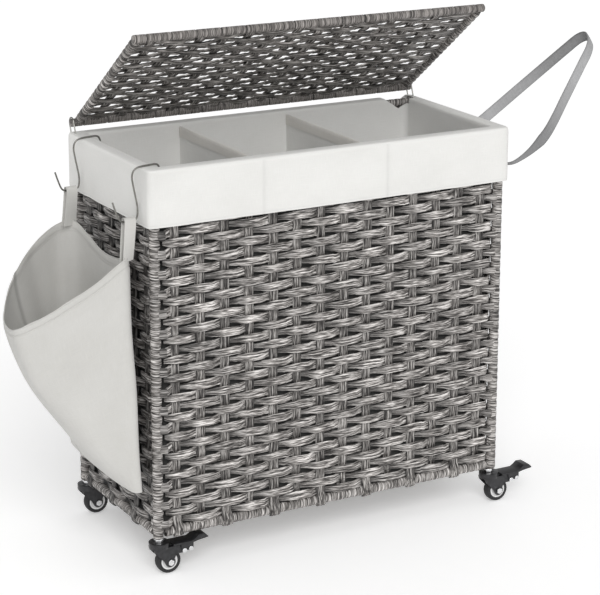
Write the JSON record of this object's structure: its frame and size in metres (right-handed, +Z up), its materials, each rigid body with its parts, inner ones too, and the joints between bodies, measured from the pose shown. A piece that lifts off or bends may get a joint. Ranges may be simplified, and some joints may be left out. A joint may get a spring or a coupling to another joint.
{
  "type": "laundry sorter on wheels",
  "caption": "Woven rectangular laundry sorter on swivel casters, with a divided cloth liner, a rear-hinged woven lid, a cloth side bag on wire hooks and a webbing pull strap.",
  "frame": {"origin": "on the floor under the middle of the whole outline, side bag and strap included", "axes": "+Z up, +X to the right along the basket's width towards the pull strap, the front faces -Y"},
  "size_m": [1.1391, 0.3231, 0.8705],
  "materials": {
    "strand": "grey-brown streaky woven strands, satin",
    "liner_cloth": "off-white plain-weave cotton",
    "strap_webbing": "grey ribbed webbing with a soft sheen",
    "hook_wire": "drawn steel wire",
    "black_steel": "black zinc plating, satin",
    "bright_steel": "bright zinc",
    "tyre_rubber": "matte",
    "hub_plastic": "pale grey",
    "board": "stained board"
  },
  "bodies": {
    "basket": {"bag_hook_front": "hook_wire", "bag_hook_rear": "hook_wire", "base_board": "board", "bottom_rail_front": "strand", "bottom_rail_left": "strand", "bottom_rail_rear": "strand", "bottom_rail_right": "strand", "caster_stem_front_left": "bright_steel", "caster_stem_front_right": "bright_steel", "caster_stem_rear_left": "bright_steel", "caster_stem_rear_right": "bright_steel", "hinge_link_left": "hook_wire", "hinge_link_right": "hook_wire", "liner_bag": "liner_cloth", "liner_cuff": "liner_cloth", "liner_divider_left": "liner_cloth", "liner_divider_right": "liner_cloth", "post_front_left": "strand", "post_front_right": "strand", "post_rear_left": "strand", "post_rear_right": "strand", "strap_patch_front": "strap_webbing", "strap_patch_rear": "strap_webbing", "top_rail_front": "strand", "top_rail_left": "strand", "top_rail_rear": "strand", "top_rail_right": "strand", "woven_panel_front": "strand", "woven_panel_left": "strand", "woven_panel_rear": "strand", "woven_panel_right": "strand"},
    "lid": {"lid_rail_front": "strand", "lid_rail_left": "strand", "lid_rail_rear": "strand", "lid_rail_right": "strand", "lid_woven_panel": "strand"},
    "side_bag": {"bag_pouch": "liner_cloth", "bag_tab_front": "liner_cloth", "bag_tab_rear": "liner_cloth"},
    "strap": {"pull_strap": "strap_webbing"},
    "swivel_front_left": {"caster_fork_front_left": "black_steel", "wheel_axle_front_left": "bright_steel"},
    "wheel_front_left": {"tyre_front_left": "tyre_rubber", "wheel_hub_front_left": "hub_plastic"},
    "pedal_front_left": {"brake_pedal_front_left": "black_steel"},
    "swivel_front_right": {"caster_fork_front_right": "black_steel", "wheel_axle_front_right": "bright_steel"},
    "wheel_front_right": {"tyre_front_right": "tyre_rubber", "wheel_hub_front_right": "hub_plastic"},
    "pedal_front_right": {"brake_pedal_front_right": "black_steel"},
    "swivel_rear_left": {"caster_fork_rear_left": "black_steel", "wheel_axle_rear_left": "bright_steel"},
    "wheel_rear_left": {"tyre_rear_left": "tyre_rubber", "wheel_hub_rear_left": "hub_plastic"},
    "pedal_rear_left": {"brake_pedal_rear_left": "black_steel"},
    "swivel_rear_right": {"caster_fork_rear_right": "black_steel", "wheel_axle_rear_right": "bright_steel"},
    "wheel_rear_right": {"tyre_rear_right": "tyre_rubber", "wheel_hub_rear_right": "hub_plastic"},
    "pedal_rear_right": {"brake_pedal_rear_right": "black_steel"}
  },
  "joints": [
    {"name": "lid_hinge", "type": "hinge", "parent": "basket", "child": "lid", "pos_m": [-0.0408, 0.1515, 0.6875], "axis": [-1, 0, 0], "range_deg": [-36.5, 70]},
    {"name": "bag_swing", "type": "hinge", "parent": "basket", "child": "side_bag", "pos_m": [-0.3958, -0.0175, 0.5885], "axis": [0, 1, 0], "range_deg": [0, 12]},
    {"name": "strap_swing", "type": "hinge", "parent": "basket", "child": "strap", "pos_m": [0.3004, -0.0245, 0.602], "axis": [0, 1, 0], "range_deg": [-40, 105]},
    {"name": "swivel_front_left", "type": "hinge", "parent": "basket", "child": "swivel_front_left", "pos_m": [-0.3588, -0.1445, 0.05], "axis": [0, 0, 1], "continuous": true},
    {"name": "roll_front_left", "type": "hinge", "parent": "swivel_front_left", "child": "wheel_front_left", "pos_m": [-0.3438, -0.1445, 0.0205], "axis": [0, 1, 0], "continuous": true},
    {"name": "brake_front_left", "type": "hinge", "parent": "swivel_front_left", "child": "pedal_front_left", "pos_m": [-0.3198, -0.1445, 0.037], "axis": [0, 1, 0], "range_deg": [0, 11]},
    {"name": "swivel_front_right", "type": "hinge", "parent": "basket", "child": "swivel_front_right", "pos_m": [0.2772, -0.1445, 0.05], "axis": [0, 0, 1], "continuous": true},
    {"name": "roll_front_right", "type": "hinge", "parent": "swivel_front_right", "child": "wheel_front_right", "pos_m": [0.2922, -0.1445, 0.0205], "axis": [0, 1, 0], "continuous": true},
    {"name": "brake_front_right", "type": "hinge", "parent": "swivel_front_right", "child": "pedal_front_right", "pos_m": [0.3162, -0.1445, 0.037], "axis": [0, 1, 0], "range_deg": [0, 11]},
    {"name": "swivel_rear_left", "type": "hinge", "parent": "basket", "child": "swivel_rear_left", "pos_m": [-0.3588, 0.1415, 0.05], "axis": [0, 0, 1], "continuous": true},
    {"name": "roll_rear_left", "type": "hinge", "parent": "swivel_rear_left", "child": "wheel_rear_left", "pos_m": [-0.3438, 0.1415, 0.0205], "axis": [0, 1, 0], "continuous": true},
    {"name": "brake_rear_left", "type": "hinge", "parent": "swivel_rear_left", "child": "pedal_rear_left", "pos_m": [-0.3198, 0.1415, 0.037], "axis": [0, 1, 0], "range_deg": [0, 11]},
    {"name": "swivel_rear_right", "type": "hinge", "parent": "basket", "child": "swivel_rear_right", "pos_m": [0.2772, 0.1415, 0.05], "axis": [0, 0, 1], "continuous": true},
    {"name": "roll_rear_right", "type": "hinge", "parent": "swivel_rear_right", "child": "wheel_rear_right", "pos_m": [0.2922, 0.1415, 0.0205], "axis": [0, 1, 0], "continuous": true},
    {"name": "brake_rear_right", "type": "hinge", "parent": "swivel_rear_right", "child": "pedal_rear_right", "pos_m": [0.3162, 0.1415, 0.037], "axis": [0, 1, 0], "range_deg": [0, 11]}
  ]
}
